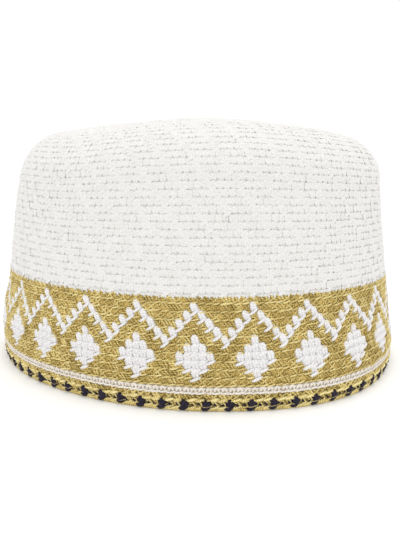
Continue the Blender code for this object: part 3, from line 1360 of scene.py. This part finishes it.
@dataclass
class WhiteRound(Rounds):
    """The single white round between the band and the edging."""

    bottom: float
    top: float
    stitches: int = 208
    loop_drop: float = 0.0009

    def build(self, wardrobe: Wardrobe) -> dict[str, bpy.types.Object]:
        """Lays its stitches.

        Args:
            wardrobe: The shared finishes.

        Returns:
            The new piece by name.
        """
        cells = round_of(self.stitches, self.bottom + self.loop_drop, self.top, 0.0)
        mesh = self.lay(STRIPE_STITCH, cells, 60, STRIPE_HAND)
        return by_name(add_piece("white_round_stitches", mesh, wardrobe.stripe))


@dataclass
class GroundCloth:
    """The cloth behind the stitches, which gives the cap its wall and its inner face."""

    form: CapForm
    stripe_bottom: float
    band_bottom: float
    band_top: float
    ring_height: float = 0.00145

    def hoop(self, node: str, bottom: float, top: float, depth: float,
             material: bpy.types.Material) -> bpy.types.Object:
        """A hoop of ground cloth that stands for a node.

        Args:
            node: The node's name, which the piece's begins with.
            bottom: Course of its lower edge.
            top: Course of its upper edge.
            depth: How deep its outer side lies under the crests of the yarn.
            material: Its finish.

        Returns:
            The new piece.
        """
        rings = max(1, round((top - bottom) / self.ring_height))
        mesh = cloth_hoop(self.form, bottom, top, rings, depth)
        piece = add_piece(f"{node}_cloth", mesh, material)
        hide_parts(node)
        return piece

    def build(self, wardrobe: Wardrobe) -> dict[str, bpy.types.Object]:
        """Makes the white round's, the band's, the side's and the crown's cloth.

        Args:
            wardrobe: The shared finishes.

        Returns:
            The new pieces by the rounds that they lie behind.
        """
        side_top = self.form.side_height
        crown_top = self.form.middle_course - POLE
        return {
            "stripe_cloth": self.hoop("white_round", self.stripe_bottom, self.band_bottom,
                                      GOLD_DEPTH, wardrobe.stripe_ground),
            "band_cloth": self.hoop("patterned_band", self.band_bottom, self.band_top,
                                    GOLD_DEPTH, wardrobe.gold_ground),
            "side_cloth": self.hoop("side_wall", self.band_top, side_top,
                                    WHITE_DEPTH, wardrobe.white_ground),
            "crown_cloth": self.hoop("crown", side_top, crown_top,
                                     WHITE_DEPTH, wardrobe.white_ground),
        }


@dataclass(frozen=True)
class Lamp:
    """A square soft light: its place and its side in metres, its power in watts."""

    name: str
    place: tuple[float, float, float]
    power: float
    size: float = 1.2

    def build(self, aim: tuple[float, float, float]) -> bpy.types.Object:
        """The lamp, facing a point.

        Args:
            aim: The point, in metres.

        Returns:
            The new light.
        """
        data = bpy.data.lights.new(self.name, "AREA")
        data.shape = "SQUARE"
        data.size = self.size
        data.energy = self.power
        lamp = bpy.data.objects.new(self.name, data)
        turned = (Vector(aim) - Vector(self.place)).to_track_quat("-Z", "Y").to_matrix().to_4x4()
        lamp.matrix_world = Matrix.Translation(self.place) @ turned
        bpy.context.collection.objects.link(lamp)
        return lamp


@dataclass(frozen=True)
class Floor:
    """A wide flat floor of pale paper with a faint grain."""

    reach: float = 4.0
    low: tuple[float, float, float] = (0.94, 0.94, 0.94)
    high: tuple[float, float, float] = (0.96, 0.96, 0.96)
    grain: float = 60.0
    grain_detail: float = 2.0
    roughness: float = 0.9
    specular: float = 0.1

    def build(self) -> bpy.types.Object:
        """One square at the height that the cap stands on.

        Returns:
            The floor, which is the stage's and not the cap's.
        """
        reach = self.reach
        corners = [(-reach, -reach, 0), (reach, -reach, 0), (reach, reach, 0), (-reach, reach, 0)]
        data = bpy.data.meshes.new("floor")
        data.from_pydata(corners, [], [(0, 1, 2, 3)])
        nodes = Nodes("floor_paper")
        nodes.colour(nodes.noise(self.grain, self.grain_detail), (0.0, 1.0), self.low, self.high)
        nodes.uniform({"Roughness": self.roughness, "Specular IOR Level": self.specular})
        data.materials.append(nodes.material)
        floor = bpy.data.objects.new("floor", data)
        bpy.context.collection.objects.link(floor)
        return floor


@dataclass(frozen=True)
class Studio:
    """A pale floor, a white surround, three soft lights that face the cap's middle, and
    the camera at the photograph's viewing angle. The camera stands at a distance from
    the cap's middle, turned round it by the azimuth, and then turns in its place. Its
    focal length is counted in the photograph's pixels, as its frame's height is."""

    distance: float = 0.254
    eye_height: float = 0.0835
    azimuth: float = math.radians(14.9)
    yaw: float = math.radians(0.6)
    pitch: float = math.radians(10.0)
    roll: float = math.radians(0.4)
    focal: float = 490.0
    frame_height: float = 533.0
    sensor: float = 36.0
    clip_start: float = 0.01
    surround: float = 1.06
    aim: tuple[float, float, float] = (0.0, 0.0, 0.05)
    lamps: tuple[Lamp, ...] = (
        Lamp("key", (-0.5, -1.6, 1.4), 3.0),
        Lamp("fill", (0.8, -1.6, 0.9), 1.5),
        Lamp("overhead", (0.1, 0.1, 1.8), 9.0),
    )

    def camera(self) -> bpy.types.Object:
        """The camera, from its place and its three turns.

        Returns:
            The new camera.
        """
        across, ahead = math.sin(self.yaw), math.cos(self.yaw)
        flat, drop = math.cos(self.pitch), math.sin(self.pitch)
        look = np.array([across * flat, ahead * flat, -drop])
        level = np.array([ahead, -across, 0.0])
        above = np.cross(level, look)
        right = math.cos(self.roll) * level + math.sin(self.roll) * above
        upright = -math.sin(self.roll) * level + math.cos(self.roll) * above
        axes = np.stack([right, upright, -look], axis=1)
        swing = np.array(Matrix.Rotation(self.azimuth, 3, "Z"))
        place = (self.distance * math.sin(self.azimuth), -self.distance * math.cos(self.azimuth),
                 self.eye_height)
        data = bpy.data.cameras.new("camera")
        data.sensor_width = self.sensor
        data.lens = self.focal / self.frame_height * self.sensor
        data.clip_start = self.clip_start
        camera = bpy.data.objects.new("camera", data)
        turned = Matrix((swing @ axes).tolist()).to_4x4()
        camera.matrix_world = Matrix.Translation(place) @ turned
        bpy.context.collection.objects.link(camera)
        bpy.context.scene.camera = camera
        return camera

    def build(self) -> None:
        """Sets up the camera, the surround, the lights and the floor."""
        scene = bpy.context.scene
        scene.view_settings.view_transform = "Standard"
        world = bpy.data.worlds.new("surround")
        world.use_nodes = True
        background = world.node_tree.nodes["Background"]
        background.inputs["Color"].default_value = (1, 1, 1, 1)
        background.inputs["Strength"].default_value = self.surround
        scene.world = world
        self.camera()
        for lamp in self.lamps:
            lamp.build(self.aim)
        Floor().build()


def main() -> None:
    """Builds the cap from its rim upwards, then the studio."""
    logging.basicConfig(level=logging.INFO, format="%(name)s: %(message)s")
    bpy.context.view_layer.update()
    form = CapForm()
    wardrobe = Wardrobe()
    edging_top = level_between("edging", "white_round")
    white_top = level_between("white_round", "patterned_band")
    band_top = level_between("patterned_band", "side_wall")
    Edging(form, edging_top).build(wardrobe)
    WhiteRound(form, edging_top, white_top).build(wardrobe)
    PatternedBand(form, white_top, band_top).build(wardrobe)
    WhiteRounds(form, band_top).build(wardrobe)
    cloths = GroundCloth(form, edging_top, white_top, band_top).build(wardrobe)
    Studio().build()


if __name__ == "__main__":
    main()
